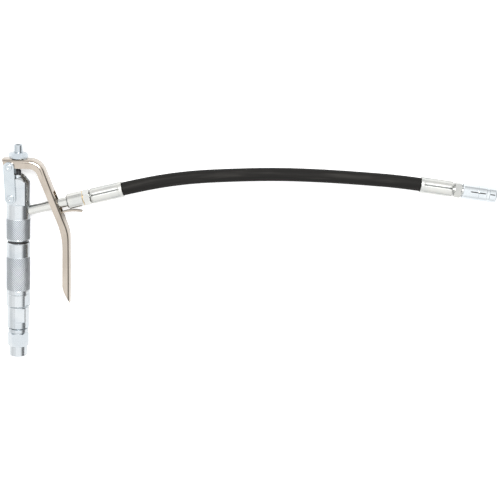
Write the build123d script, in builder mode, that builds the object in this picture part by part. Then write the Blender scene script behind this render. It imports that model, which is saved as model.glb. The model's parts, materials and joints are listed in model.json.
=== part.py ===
from build123d import *
import os
from math import atan2, cos, degrees, hypot, pi, radians, sin, sqrt, tan

os.makedirs("parts", exist_ok=True)

# A grease control gun: an inlet swivel and a knurled handle on one axis (+Y), a valve
# with a hand lever above it, an outlet pipe, a short hose and a nipple coupler.
# The origin is the centre of the inlet's mouth. +X points to the lever and the hose,
# and Z is across the lever. The gun lies on its side with Z upright. Millimetres.

# ---- Fits -------------------------------------------------------------------------
RUNNING_FIT = 0.05
SLIDE_GAP = 0.15
SIDE_GAP = 0.25
AXIAL_GAP = 1.0
EDGE = 0.8

# ---- Inlet nut, swivel and strainer -----------------------------------------------
INLET_SPIGOT_RADIUS = 9.45
INLET_SPIGOT_LENGTH = 10.5
INLET_HEX_FLATS = 19.0
INLET_HEX_LENGTH = 19.7
INLET_HEX_TURN = 5.0
INLET_COLLAR_RADIUS = 10.6
INLET_COLLAR_LENGTH = 4.0
INLET_GROOVE_RADIUS = 9.4
INLET_GROOVE_WIDTH = 0.6
INLET_THREAD_RADIUS = 5.75
INLET_THREAD_LENGTH = 12.0
STRAINER_RADIUS = 5.0
STRAINER_THICKNESS = 1.0
STRAINER_HOLE_RADIUS = 0.5
STRAINER_HOLE_SPACING = 1.6
STRAINER_RING_THICKNESS = 0.6
FLOW_RADIUS = 3.5
SWIVEL_SPIGOT_RADIUS = 6.5
SWIVEL_SPIGOT_LENGTH = 13.8
SWIVEL_RADIUS = 11.2
SWIVEL_LENGTH = 23.7
SWIVEL_FLATS = 20.0
SWIVEL_FLATS_START = 7.0
SWIVEL_FLATS_LENGTH = 15.0
SWIVEL_FLATS_TURN = 18.0
SWIVEL_STUD_RADIUS = 7.0
SWIVEL_STUD_LENGTH = 11.5
SWIVEL_BALL_RADIUS = 1.2
SWIVEL_BALL_COUNT = 14
SWIVEL_BALL_RISE = 4.2
SWIVEL_SEAL_RISE = 9.4
SWIVEL_SEAL_WIRE = 0.85
SWIVEL_SEAL_GROOVE = 2.2

# ---- Handle -----------------------------------------------------------------------
HANDLE_START = 55.1
HANDLE_LENGTH = 68.6
HANDLE_RADIUS = 12.25
HANDLE_BORE_RADIUS = 3.0
HANDLE_FLATS = 22.0
HANDLE_FLATS_LENGTH = 11.5
HANDLE_FLATS_TURN = 68.0
HANDLE_BAND_LENGTH = 14.7
HANDLE_BAND_GROOVE = 0.4
HANDLE_BAND_WIDTH = 3.4
KNURL_RADIUS = 12.05
HANDLE_THREAD_RADIUS = 8.0
HANDLE_THREAD_LENGTH = 15.8
SPRING_BORE_RADIUS = 5.2
SPRING_BORE_DEPTH = 21.5
HANDLE_SEAL_RADIUS = 10.8
HANDLE_SEAL_LENGTH = 2.1

# ---- Valve body, seat, ball and gland ---------------------------------------------
BODY_DATUM = 125.8
BODY_LENGTH = 62.6
BODY_KNURL_START = 1.4
BODY_KNURL_LENGTH = 22.8
BODY_FLATS = 18.4
BODY_FLATS_START = 38.8
BODY_CONE_LENGTH = 5.2
BODY_TOP_RADIUS = 8.0
CHAMBER_RADIUS = 4.5
CHAMBER_LENGTH = 16.0
SEAT_RADIUS = 7.0
SEAT_LENGTH = 6.3
SEAT_BORE_RADIUS = 2.6
SEAT_GAP = 0.2
BALL_RADIUS = 4.0
CARRIER_RADIUS = 4.7
CARRIER_FLANGE = 2.4
CARRIER_STEM_RADIUS = 3.2
CARRIER_STEM_LENGTH = 3.5
VALVE_SPRING_WIRE = 0.45
VALVE_SPRING_TURNS = 5.0
ROD_TIP_RADIUS = 1.5
ROD_TIP_LENGTH = 11.2
ROD_RADIUS = 2.0
ROD_HEAD_RADIUS = 2.9
ROD_HEAD_LENGTH = 11.0
ROD_TOP = 200.5
PACKING_RADIUS = 4.5
PACKING_LENGTH = 7.0
PACKING_RING_COUNT = 3
GLAND_WASHER_LENGTH = 0.9
GLAND_THREAD_RADIUS = 5.0
GLAND_THREAD_LENGTH = 7.7
GLAND_LIP_LENGTH = 0.8
GLAND_HEX_FLATS = 11.0
GLAND_HEX_LENGTH = 2.4

# ---- Links, pins and lever --------------------------------------------------------
LEVER_PIVOT = (-8.3, 204.4)
LINK_PIVOT = (-6.4, 171.5)
PIN_RADIUS = 2.5
LINK_THICKNESS = 2.6
LINK_END_RADIUS = 5.6
PIN_HEAD_THICKNESS = 0.5
LEVER_PIN_HEAD_RADIUS = 3.3
BODY_PIN_HEAD_RADIUS = 3.75
PIN_DIMPLE_RADIUS = 0.8
PIN_DIMPLE_DEPTH = 0.3
LEVER_WIDTH = 18.2
LEVER_SHEET = 2.5
LEVER_EDGE_ROUND = 4.0
LEVER_EAR_RADIUS = 5.5
LEVER_TOP = 212.8
LEVER_TOP_TILT = 0.4
LEVER_TOP_START = -15.8
LEVER_BACK = [(23.6, 212.96), (54.4, 136.8)]
LEVER_BACK_END = (55.4, 60.8)
LEVER_BACK_RADII = [17.0, 45.0]
LEVER_FRONT = [(18.3, 203.2), (47.3, 134.3), (47.5, 76.5)]
LEVER_FRONT_END = (54.2, 63.2)
LEVER_FRONT_RADII = [9.0, 80.0, 20.0]
PIPE_SLOT_WIDTH = 12.0
PIPE_SLOT_MIDDLE = 46.2
PIPE_SLOT_DEPTH = 46.2
PIPE_SLOT_LOW = 158.6
PIPE_SLOT_HIGH = 179.7
TONGUE_THICKNESS = 1.6
TONGUE_WIDTH = 6.4
TONGUE_START = (45.6, 157.4)
TONGUE_CROWN = (56.8, 160.2)
TONGUE_END = (66.2, 159.6)
SCREW_RADIUS = 4.5
SCREW_ABOVE = 14.6
SCREW_BELOW = 7.4
SCREW_POINT_RADIUS = 3.2
SCREW_POINT_DOME = 5.0
SCREW_GAP = 0.25
SCREW_SOCKET_FLATS = 5.0
SCREW_SOCKET_DEPTH = 5.0
NUT_FLATS = 17.0
NUT_THICKNESS = 6.0

# ---- Outlet pipe and hose ends ----------------------------------------------------
PIPE_ANGLE = 15.3
PIPE_RISE = 155.0
PIPE_RADIUS = 5.0
PIPE_BORE_RADIUS = 3.0
PIPE_INNER_END = 6.5
PIPE_LENGTH = 55.5
COUPLING_START = 52.9
COUPLING_LENGTH = 17.1
COUPLING_RADIUS = 8.0
COUPLING_CHAMFER = 1.4
FITTING_THREAD_RADIUS = 5.6
FITTING_THREAD_LENGTH = 7.8
FITTING_BORE_RADIUS = 2.0
FITTING_HEX_FLATS = 14.5
FITTING_HEX_LENGTH = 7.0
WASHER_THICKNESS = 0.5
WASHER_RADIUS = 7.5
FERRULE_GAP = 0.5
FERRULE_RADIUS = 8.5
FERRULE_LENGTH = 34.0
FERRULE_LIP = 3.0
CRIMP_COUNT = 6
CRIMP_RADIUS = 1.0
CRIMP_DEPTH = 0.8
NIPPLE_RADIUS = 3.2
HOSE_RADIUS = 6.9

# ---- Hose route -------------------------------------------------------------------
HOSE_POINTS = [
    (108.03, 184.55, 0.0),
    (136.97, 192.47, 0.0),
    (178.0, 199.9, -0.4),
    (222.0, 203.7, -1.2),
    (268.0, 206.3, -2.2),
    (315.0, 206.3, -3.2),
    (360.0, 204.8, -4.1),
    (395.6, 203.2, -4.5),
    (417.5, 200.9, -4.5),
]
BEND_SHARE = 0.45

# ---- Coupler ----------------------------------------------------------------------
TIP_ANGLE = -6.0
TIP_HEX_TURN = 30.0
TIP_FITTING_GAP = 1.5
TIP_THREAD_RADIUS = 4.4
TIP_THREAD_LENGTH = 8.5
COUPLER_RADIUS = 8.1
COUPLER_START = 44.2
COUPLER_BODY_LENGTH = 16.4
COUPLER_WALL = 1.6
COUPLER_NOSE_RADIUS = 6.0
COUPLER_NOSE_LENGTH = 6.0
COUPLER_SLOT_WIDTH = 1.1
COUPLER_SLOT_DEPTH = 0.9
COUPLER_SLOT_START = 51.6
COUPLER_SLOT_END = 78.0
COUPLER_SLOT_TURN = -10.0
SLEEVE_LENGTH = 19.6
SLEEVE_MOUTH_RADIUS = 4.75
SLEEVE_MOUTH_LENGTH = 0.8
SLEEVE_CHAMBER_RADIUS = 6.2
SLEEVE_CONE_LENGTH = 3.9
SLEEVE_GROOVE_START = 8.3
SLEEVE_GROOVE_WIDTH = 3.5
SLEEVE_GROOVE_DEPTH = 0.6
SLEEVE_NOSE_ROUND = 2.2
JAW_COUNT = 4
JAW_ARC = 82.0
JAW_RADIUS = 5.4
JAW_GRIP_RADIUS = 3.4
JAW_BORE_RADIUS = 3.9
JAW_LENGTH = 8.8
JAW_LIP = 1.6
JAW_GAP = 0.1
PISTON_RADIUS = 4.4
PISTON_LENGTH = 11.0
PISTON_BORE_RADIUS = 1.4
COUPLER_SEAL_RADIUS = 3.4
COUPLER_SEAL_LENGTH = 2.6
COUPLER_SPRING_RADIUS = 3.6
COUPLER_SPRING_WIRE = 0.35
COUPLER_SPRING_TURNS = 3.0

# ---- Places worked out from the sizes ----------------------------------------------
HEX_START = INLET_SPIGOT_LENGTH
HEX_END = HEX_START + INLET_HEX_LENGTH
SWIVEL_START = HEX_END + AXIAL_GAP
SWIVEL_END = SWIVEL_START + SWIVEL_LENGTH
SWIVEL_SPIGOT_END = HEX_END + SWIVEL_SPIGOT_LENGTH
SWIVEL_BALL_HEIGHT = SWIVEL_START + SWIVEL_BALL_RISE
SWIVEL_SEAL_HEIGHT = SWIVEL_START + SWIVEL_SEAL_RISE
SWIVEL_FIT_RADIUS = SWIVEL_SPIGOT_RADIUS + RUNNING_FIT
STRAINER_START = INLET_THREAD_LENGTH + SLIDE_GAP
HANDLE_END = HANDLE_START + HANDLE_LENGTH
SPRING_STEP = HANDLE_END + HANDLE_THREAD_LENGTH - SPRING_BORE_DEPTH
BODY_START = HANDLE_END + HANDLE_SEAL_LENGTH
RISE = BODY_START - BODY_DATUM
BODY_SHOULDER = BODY_START + BODY_LENGTH
BODY_TOP = BODY_SHOULDER + BODY_CONE_LENGTH
SEAT_START = HANDLE_END + HANDLE_THREAD_LENGTH + SEAT_GAP
SEAT_END = SEAT_START + SEAT_LENGTH
CHAMBER_END = SEAT_END + CHAMBER_LENGTH
BALL_HEIGHT = SEAT_START - sqrt(BALL_RADIUS**2 - SEAT_BORE_RADIUS**2) - RUNNING_FIT
CARRIER_TOP = BALL_HEIGHT - BALL_RADIUS - RUNNING_FIT
CARRIER_BASE = CARRIER_TOP - CARRIER_FLANGE
ROD_END = BALL_HEIGHT + BALL_RADIUS + SLIDE_GAP
ROD_CROWN = ROD_TOP + RISE
ROD_SHOULDER = ROD_CROWN - ROD_HEAD_LENGTH
GLAND_BASE = BODY_TOP - GLAND_THREAD_LENGTH
GLAND_TOP = BODY_TOP + GLAND_HEX_LENGTH
PACKING_START = GLAND_BASE - PACKING_LENGTH - GLAND_WASHER_LENGTH
LINK_INNER = LEVER_WIDTH / 2 + SIDE_GAP
LINK_OUTER = LINK_INNER + LINK_THICKNESS
COUPLING_END = COUPLING_START + COUPLING_LENGTH
FITTING_START = COUPLING_END + WASHER_THICKNESS
FERRULE_START = FITTING_START + FITTING_HEX_LENGTH + FERRULE_GAP
FERRULE_END = FERRULE_START + FERRULE_LENGTH
TIP_HEX_START = FERRULE_LENGTH + TIP_FITTING_GAP
TIP_HEX_END = TIP_HEX_START + FITTING_HEX_LENGTH
COUPLER_FLOOR = TIP_HEX_END + TIP_THREAD_LENGTH + SLIDE_GAP
COUPLER_SPRING_START = COUPLER_FLOOR + COUPLER_WALL
SLEEVE_START = COUPLER_START + COUPLER_BODY_LENGTH
SLEEVE_END = SLEEVE_START + SLEEVE_LENGTH
SLEEVE_CONE_END = SLEEVE_END - SLEEVE_MOUTH_LENGTH
SLEEVE_CONE_START = SLEEVE_CONE_END - SLEEVE_CONE_LENGTH
SLEEVE_CONE_SLOPE = (SLEEVE_CHAMBER_RADIUS - SLEEVE_MOUTH_RADIUS) / SLEEVE_CONE_LENGTH
JAW_FRONT = SLEEVE_CONE_END - SLIDE_GAP
JAW_BACK = JAW_FRONT - JAW_LENGTH
PISTON_FRONT = JAW_BACK - SLIDE_GAP
PISTON_BACK = PISTON_FRONT - PISTON_LENGTH


def raised(points):
    """Points moved along +Y with the valve body, for another length of the handle."""
    return [(point[0], point[1] + RISE, *point[2:]) for point in points]


def axis_frame(origin, angle):
    """Plane for a turned piece: its Y runs along the axis at that angle above +X, its Z is up."""
    turn = radians(angle)
    return Plane(origin=origin, x_dir=(sin(turn), -cos(turn), 0), z_dir=(0, 0, 1))


def across(frame, distance, turn=0.0):
    """Plane across an axis at that distance along it, turned about it."""
    place = frame.origin + frame.y_dir * distance
    level = Plane(origin=place, x_dir=frame.x_dir, z_dir=frame.y_dir)
    return Plane(level.location * Rotation(0, 0, turn))


LEVER_HINGE, LINK_HINGE = raised([LEVER_PIVOT, LINK_PIVOT])
TONGUE_LINE = raised([TONGUE_START, TONGUE_CROWN, TONGUE_END])
HOSE_ROUTE = raised(HOSE_POINTS)
BODY_AXIS = axis_frame((0, 0, 0), 90)
PIPE_AXIS = axis_frame((0, PIPE_RISE + RISE, 0), PIPE_ANGLE)
TIP_AXIS = axis_frame(HOSE_ROUTE[-1], TIP_ANGLE)
SCREW_AXIS = axis_frame((0, LEVER_TOP + RISE, 0), 90 + LEVER_TOP_TILT)


def keep(piece, name):
    """Label a finished piece and write it."""
    piece.label = name
    export_step(piece, f"parts/{name}.step")


def turned(frame, outline):
    """A piece turned about the frame's axis from (radius, distance) points."""
    with BuildPart() as piece:
        with BuildSketch(frame):
            with BuildLine():
                Polyline(*outline, close=True)
            make_face()
        revolve(axis=Axis(frame.origin, frame.y_dir))
    return piece.part


def ring(frame, inner, outer, start, end):
    """A plain turned ring."""
    return turned(frame, [(inner, start), (outer, start), (outer, end), (inner, end)])


def hexagon_block(frame, flats, start, end, turn=0.0):
    """A hexagon with its corners chamfered at both ends, as on a nut."""
    corner = flats / sqrt(3)
    edge = (corner - flats / 2) * tan(radians(30)) + EDGE / 4
    with BuildPart() as block:
        with BuildSketch(across(frame, start, turn)):
            RegularPolygon(radius=flats / 2, side_count=6, major_radius=False)
        extrude(amount=end - start)
        with BuildSketch(frame):
            with BuildLine():
                Polyline(
                    (0, start),
                    (flats / 2, start),
                    (corner, start + edge),
                    (corner, end - edge),
                    (flats / 2, end),
                    (0, end),
                    close=True,
                )
            make_face()
        revolve(axis=Axis(frame.origin, frame.y_dir), mode=Mode.INTERSECT)
    return block.part


def spring(frame, radius, wire, turns, start, end):
    """A coil spring wound about the frame's axis between two places on it."""
    low = start + wire + RUNNING_FIT
    height = end - start - 2 * (wire + RUNNING_FIT)
    with BuildPart() as coil:
        base = across(frame, low)
        with BuildLine():
            path = Helix(
                pitch=height / turns,
                height=height,
                radius=radius,
                center=base.origin,
                direction=base.z_dir,
            )
        with BuildSketch(Plane(origin=path @ 0, z_dir=path % 0)):
            Circle(wire)
        sweep(path=path.edges()[0], is_frenet=True)
    return coil.part


# ---- Inlet -------------------------------------------------------------------------
def make_inlet_nut():
    """Hexagon and collar with a female thread below and the swivel's spigot above."""
    ball_groove = SWIVEL_BALL_RADIUS + RUNNING_FIT
    collar_start = HEX_END - INLET_COLLAR_LENGTH
    groove_start = collar_start - INLET_GROOVE_WIDTH
    with BuildPart() as nut:
        add(hexagon_block(BODY_AXIS, INLET_HEX_FLATS, HEX_START, groove_start, INLET_HEX_TURN))
        add(
            turned(
                BODY_AXIS,
                [
                    (0, 0),
                    (INLET_SPIGOT_RADIUS - EDGE, 0),
                    (INLET_SPIGOT_RADIUS, EDGE),
                    (INLET_SPIGOT_RADIUS, HEX_START),
                    (INLET_GROOVE_RADIUS, HEX_START),
                    (INLET_GROOVE_RADIUS, collar_start),
                    (INLET_COLLAR_RADIUS - EDGE / 2, collar_start),
                    (INLET_COLLAR_RADIUS, collar_start + EDGE / 2),
                    (INLET_COLLAR_RADIUS, HEX_END - EDGE / 2),
                    (INLET_COLLAR_RADIUS - EDGE / 2, HEX_END),
                    (0, HEX_END),
                ],
            )
        )
        with BuildSketch(across(BODY_AXIS, HEX_END)):
            Circle(SWIVEL_SPIGOT_RADIUS)
        extrude(amount=SWIVEL_SPIGOT_LENGTH)
        with BuildSketch(BODY_AXIS):
            with Locations((SWIVEL_FIT_RADIUS, SWIVEL_BALL_HEIGHT)):
                Circle(ball_groove)
        revolve(axis=Axis.Y, mode=Mode.SUBTRACT)
        with BuildSketch(across(BODY_AXIS, 0)):
            Circle(INLET_THREAD_RADIUS)
        extrude(amount=INLET_THREAD_LENGTH, mode=Mode.SUBTRACT)
        with BuildSketch(across(BODY_AXIS, INLET_THREAD_LENGTH)):
            Circle(STRAINER_RADIUS)
        strainer_room = STRAINER_THICKNESS + STRAINER_RING_THICKNESS + 2 * SLIDE_GAP
        extrude(amount=strainer_room, mode=Mode.SUBTRACT)
        with BuildSketch(across(BODY_AXIS, INLET_THREAD_LENGTH)):
            Circle(FLOW_RADIUS)
        extrude(amount=SWIVEL_SPIGOT_END, mode=Mode.SUBTRACT)
    return nut.part


def make_inlet_strainer():
    """A disc full of small holes."""
    with BuildPart() as strainer:
        with BuildSketch(across(BODY_AXIS, STRAINER_START)):
            Circle(STRAINER_RADIUS - RUNNING_FIT)
            with PolarLocations(STRAINER_HOLE_SPACING, 6):
                Circle(STRAINER_HOLE_RADIUS, mode=Mode.SUBTRACT)
            with PolarLocations(2 * STRAINER_HOLE_SPACING, 12):
                Circle(STRAINER_HOLE_RADIUS, mode=Mode.SUBTRACT)
            Circle(STRAINER_HOLE_RADIUS, mode=Mode.SUBTRACT)
        extrude(amount=STRAINER_THICKNESS)
    return strainer.part


def make_swivel_body():
    """The part that stays with the handle: a socket for the swivel's spigot and a stud above."""
    groove = SWIVEL_SEAL_GROOVE / 2
    with BuildPart() as body:
        add(
            turned(
                BODY_AXIS,
                [
                    (SWIVEL_FIT_RADIUS, SWIVEL_START),
                    (SWIVEL_RADIUS - EDGE / 2, SWIVEL_START),
                    (SWIVEL_RADIUS, SWIVEL_START + EDGE / 2),
                    (SWIVEL_RADIUS, SWIVEL_END - EDGE),
                    (SWIVEL_RADIUS - EDGE, SWIVEL_END),
                    (SWIVEL_STUD_RADIUS, SWIVEL_END),
                    (SWIVEL_STUD_RADIUS, HANDLE_START + SWIVEL_STUD_LENGTH),
                    (FLOW_RADIUS, HANDLE_START + SWIVEL_STUD_LENGTH),
                    (FLOW_RADIUS, SWIVEL_SPIGOT_END + AXIAL_GAP),
                    (SWIVEL_FIT_RADIUS, SWIVEL_SPIGOT_END + AXIAL_GAP),
                ],
            )
        )
        with BuildSketch(BODY_AXIS):
            with Locations((SWIVEL_FIT_RADIUS, SWIVEL_BALL_HEIGHT)):
                Circle(SWIVEL_BALL_RADIUS + RUNNING_FIT)
            with Locations((SWIVEL_FIT_RADIUS + SWIVEL_SEAL_WIRE, SWIVEL_SEAL_HEIGHT)):
                Rectangle(2 * SWIVEL_SEAL_WIRE + 2 * RUNNING_FIT, 2 * groove)
        revolve(axis=Axis.Y, mode=Mode.SUBTRACT)
        flats_start = SWIVEL_START + SWIVEL_FLATS_START
        with BuildSketch(across(BODY_AXIS, flats_start, SWIVEL_FLATS_TURN)):
            Rectangle(3 * SWIVEL_RADIUS, 3 * SWIVEL_RADIUS)
            Rectangle(3 * SWIVEL_RADIUS, SWIVEL_FLATS, mode=Mode.SUBTRACT)
        extrude(amount=SWIVEL_FLATS_LENGTH, mode=Mode.SUBTRACT)
    return body.part


def make_swivel_seal():
    """A round seal in its groove around the spigot."""
    with BuildPart() as seal:
        with BuildSketch(BODY_AXIS):
            with Locations((SWIVEL_FIT_RADIUS + SWIVEL_SEAL_WIRE, SWIVEL_SEAL_HEIGHT)):
                Circle(SWIVEL_SEAL_WIRE - RUNNING_FIT)
        revolve(axis=Axis.Y)
    return seal.part


def make_swivel_balls():
    """A ring of balls that lets the inlet turn under pressure."""
    with BuildPart() as balls:
        with Locations(across(BODY_AXIS, SWIVEL_BALL_HEIGHT)):
            with PolarLocations(SWIVEL_FIT_RADIUS, SWIVEL_BALL_COUNT):
                Sphere(SWIVEL_BALL_RADIUS)
    return balls.part


# ---- Handle ------------------------------------------------------------------------
def make_handle():
    """The knurled tube that the hand holds, with wrench flats below and a thread above."""
    band_end = HANDLE_START + EDGE + HANDLE_FLATS_LENGTH + HANDLE_BAND_GROOVE
    band_inner = HANDLE_RADIUS - HANDLE_BAND_GROOVE
    knurl_start = band_end + 3 * HANDLE_BAND_GROOVE + HANDLE_BAND_WIDTH
    top_band = HANDLE_END - HANDLE_BAND_LENGTH
    with BuildPart() as handle:
        add(
            turned(
                BODY_AXIS,
                [
                    (SWIVEL_STUD_RADIUS, HANDLE_START),
                    (HANDLE_RADIUS - EDGE, HANDLE_START),
                    (HANDLE_RADIUS, HANDLE_START + EDGE),
                    (HANDLE_RADIUS, band_end),
                    (band_inner, band_end + HANDLE_BAND_GROOVE),
                    (band_inner, band_end + 2 * HANDLE_BAND_GROOVE),
                    (HANDLE_RADIUS, band_end + 3 * HANDLE_BAND_GROOVE),
                    (HANDLE_RADIUS, knurl_start),
                    (KNURL_RADIUS, knurl_start + HANDLE_BAND_GROOVE),
                    (KNURL_RADIUS, top_band - HANDLE_BAND_GROOVE),
                    (HANDLE_RADIUS, top_band),
                    (HANDLE_RADIUS, HANDLE_END - EDGE),
                    (HANDLE_RADIUS - EDGE, HANDLE_END),
                    (HANDLE_THREAD_RADIUS, HANDLE_END),
                    (HANDLE_THREAD_RADIUS, HANDLE_END + HANDLE_THREAD_LENGTH),
                    (SPRING_BORE_RADIUS, HANDLE_END + HANDLE_THREAD_LENGTH),
                    (SPRING_BORE_RADIUS, SPRING_STEP),
                    (HANDLE_BORE_RADIUS, SPRING_STEP),
                    (HANDLE_BORE_RADIUS, HANDLE_START + SWIVEL_STUD_LENGTH + AXIAL_GAP),
                    (SWIVEL_STUD_RADIUS, HANDLE_START + SWIVEL_STUD_LENGTH + AXIAL_GAP),
                ],
            )
        )
        with BuildSketch(across(BODY_AXIS, HANDLE_START + EDGE, HANDLE_FLATS_TURN)):
            Rectangle(3 * HANDLE_RADIUS, 3 * HANDLE_RADIUS)
            Rectangle(3 * HANDLE_RADIUS, HANDLE_FLATS, mode=Mode.SUBTRACT)
        extrude(amount=HANDLE_FLATS_LENGTH, mode=Mode.SUBTRACT)
    return handle.part


# ---- Valve -------------------------------------------------------------------------
def make_valve_body():
    """The valve's housing: seat bore, grease chamber, packing room, outlet hole and link flats."""
    knurl_start = BODY_START + BODY_KNURL_START
    knurl_end = knurl_start + BODY_KNURL_LENGTH
    with BuildPart() as body:
        add(
            turned(
                BODY_AXIS,
                [
                    (HANDLE_THREAD_RADIUS, BODY_START),
                    (HANDLE_RADIUS - EDGE, BODY_START),
                    (HANDLE_RADIUS, BODY_START + EDGE),
                    (HANDLE_RADIUS, knurl_start),
                    (KNURL_RADIUS, knurl_start + HANDLE_BAND_GROOVE),
                    (KNURL_RADIUS, knurl_end - HANDLE_BAND_GROOVE),
                    (HANDLE_RADIUS, knurl_end),
                    (HANDLE_RADIUS, BODY_SHOULDER),
                    (BODY_TOP_RADIUS, BODY_TOP),
                    (GLAND_THREAD_RADIUS, BODY_TOP),
                    (GLAND_THREAD_RADIUS, GLAND_BASE),
                    (PACKING_RADIUS, GLAND_BASE),
                    (PACKING_RADIUS, PACKING_START),
                    (ROD_RADIUS + RUNNING_FIT, PACKING_START),
                    (ROD_RADIUS + RUNNING_FIT, CHAMBER_END),
                    (CHAMBER_RADIUS, CHAMBER_END),
                    (CHAMBER_RADIUS, SEAT_END),
                    (SEAT_RADIUS, SEAT_END),
                    (SEAT_RADIUS, SEAT_START - SEAT_GAP),
                    (HANDLE_THREAD_RADIUS, SEAT_START - SEAT_GAP),
                ],
            )
        )
        with BuildSketch(across(BODY_AXIS, BODY_START + BODY_FLATS_START)):
            Rectangle(3 * HANDLE_RADIUS, 3 * HANDLE_RADIUS)
            Rectangle(3 * HANDLE_RADIUS, BODY_FLATS, mode=Mode.SUBTRACT)
        extrude(amount=BODY_TOP - BODY_START - BODY_FLATS_START, mode=Mode.SUBTRACT)
        with BuildSketch(across(PIPE_AXIS, 0)):
            Circle(PIPE_BORE_RADIUS)
        extrude(amount=PIPE_INNER_END, mode=Mode.SUBTRACT)
        with BuildSketch(across(PIPE_AXIS, PIPE_INNER_END)):
            Circle(PIPE_RADIUS)
        extrude(amount=2 * HANDLE_RADIUS, mode=Mode.SUBTRACT)
        with BuildSketch(Plane.XY):
            with Locations(LINK_HINGE):
                Circle(PIN_RADIUS)
        extrude(amount=HANDLE_RADIUS, both=True, mode=Mode.SUBTRACT)
    return body.part


def make_valve_seat():
    """A ring with a sharp seat below, on which the ball closes."""
    return ring(BODY_AXIS, SEAT_BORE_RADIUS, SEAT_RADIUS, SEAT_START, SEAT_END)


def make_valve_ball():
    """The ball that the spring holds on the seat."""
    with BuildPart() as ball:
        with Locations((0, BALL_HEIGHT, 0)):
            Sphere(BALL_RADIUS)
    return ball.part


def make_ball_carrier():
    """The disc and stem between the ball and its spring."""
    return turned(
        BODY_AXIS,
        [
            (0, CARRIER_TOP),
            (CARRIER_RADIUS, CARRIER_TOP),
            (CARRIER_RADIUS, CARRIER_BASE),
            (CARRIER_STEM_RADIUS, CARRIER_BASE),
            (CARRIER_STEM_RADIUS, CARRIER_BASE - CARRIER_STEM_LENGTH),
            (0, CARRIER_BASE - CARRIER_STEM_LENGTH),
        ],
    )


def make_valve_spring():
    """The spring that shuts the valve and lifts the rod and the lever."""
    radius = (SPRING_BORE_RADIUS + CARRIER_STEM_RADIUS) / 2
    return spring(
        BODY_AXIS,
        radius,
        VALVE_SPRING_WIRE,
        VALVE_SPRING_TURNS,
        SPRING_STEP,
        CARRIER_BASE,
    )


def make_gland_packing():
    """Seal rings around the rod, one above the other."""
    pitch = PACKING_LENGTH / PACKING_RING_COUNT
    with BuildPart() as packing:
        for number in range(PACKING_RING_COUNT):
            start = PACKING_START + number * pitch + RUNNING_FIT
            add(
                ring(
                    BODY_AXIS,
                    ROD_RADIUS + SLIDE_GAP,
                    PACKING_RADIUS - RUNNING_FIT,
                    start,
                    start + pitch - 2 * RUNNING_FIT,
                )
            )
    return packing.part


def make_gland_washer():
    """The brass washer between the packing and the gland nut."""
    start = PACKING_START + PACKING_LENGTH
    outer = PACKING_RADIUS - RUNNING_FIT
    return ring(BODY_AXIS, ROD_RADIUS + RUNNING_FIT, outer, start, GLAND_BASE - RUNNING_FIT)


def make_gland_nut():
    """The nut that holds the packing and guides the rod's head."""
    with BuildPart() as nut:
        add(hexagon_block(BODY_AXIS, GLAND_HEX_FLATS, BODY_TOP, GLAND_TOP))
        with BuildSketch(across(BODY_AXIS, GLAND_BASE)):
            Circle(GLAND_THREAD_RADIUS)
        extrude(amount=GLAND_THREAD_LENGTH)
        with BuildSketch(across(BODY_AXIS, GLAND_BASE)):
            Circle(ROD_RADIUS + RUNNING_FIT)
        extrude(amount=GLAND_LIP_LENGTH, mode=Mode.SUBTRACT)
        with BuildSketch(across(BODY_AXIS, GLAND_BASE + GLAND_LIP_LENGTH)):
            Circle(ROD_HEAD_RADIUS + RUNNING_FIT)
        extrude(amount=GLAND_TOP - GLAND_BASE, mode=Mode.SUBTRACT)
    return nut.part


def make_push_rod():
    """The rod between the lever's screw and the ball."""
    tip_end = ROD_END + ROD_TIP_LENGTH
    return turned(
        BODY_AXIS,
        [
            (0, ROD_END),
            (ROD_TIP_RADIUS, ROD_END),
            (ROD_TIP_RADIUS, tip_end),
            (ROD_RADIUS, tip_end),
            (ROD_RADIUS, ROD_SHOULDER),
            (ROD_HEAD_RADIUS, ROD_SHOULDER),
            (ROD_HEAD_RADIUS, ROD_CROWN - EDGE / 2),
            (ROD_HEAD_RADIUS - EDGE / 2, ROD_CROWN),
            (0, ROD_CROWN),
        ],
    )


# ---- Links and lever ---------------------------------------------------------------
def make_link_plate(side):
    """One of the two plates that hang the lever from the valve body; side is 1 or -1."""
    middle = ((LEVER_HINGE[0] + LINK_HINGE[0]) / 2, (LEVER_HINGE[1] + LINK_HINGE[1]) / 2)
    run = (LEVER_HINGE[0] - LINK_HINGE[0], LEVER_HINGE[1] - LINK_HINGE[1])
    with BuildPart() as plate:
        with BuildSketch(Plane.XY.offset(side * (LINK_INNER + LINK_THICKNESS / 2))):
            with Locations(Location((*middle, 0), (0, 0, degrees(atan2(run[1], run[0]))))):
                SlotCenterToCenter(hypot(*run), 2 * LINK_END_RADIUS)
            with Locations(LEVER_HINGE):
                Circle(PIN_RADIUS, mode=Mode.SUBTRACT)
            with Locations(LINK_HINGE):
                Circle(PIN_RADIUS + RUNNING_FIT, mode=Mode.SUBTRACT)
        extrude(amount=LINK_THICKNESS / 2, both=True)
        chamfer(plate.edges().group_by(Axis.Z)[-1], EDGE / 4)
    return plate.part


def make_pin(place, head_radius, head_gap):
    """A pin across the links with a flat dimpled head on each side."""
    head_start = LINK_OUTER + head_gap
    with BuildPart() as pin:
        with BuildSketch(Plane.XY):
            with Locations(place):
                Circle(PIN_RADIUS)
        extrude(amount=head_start, both=True)
        for side in (1, -1):
            with BuildSketch(Plane.XY.offset(side * head_start)):
                with Locations(place):
                    Circle(head_radius)
            extrude(amount=side * PIN_HEAD_THICKNESS)
            with BuildSketch(Plane.XY.offset(side * (head_start + PIN_HEAD_THICKNESS))):
                with Locations(place):
                    Circle(PIN_DIMPLE_RADIUS)
            extrude(amount=-side * PIN_DIMPLE_DEPTH, mode=Mode.SUBTRACT)
    return pin.part


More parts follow.
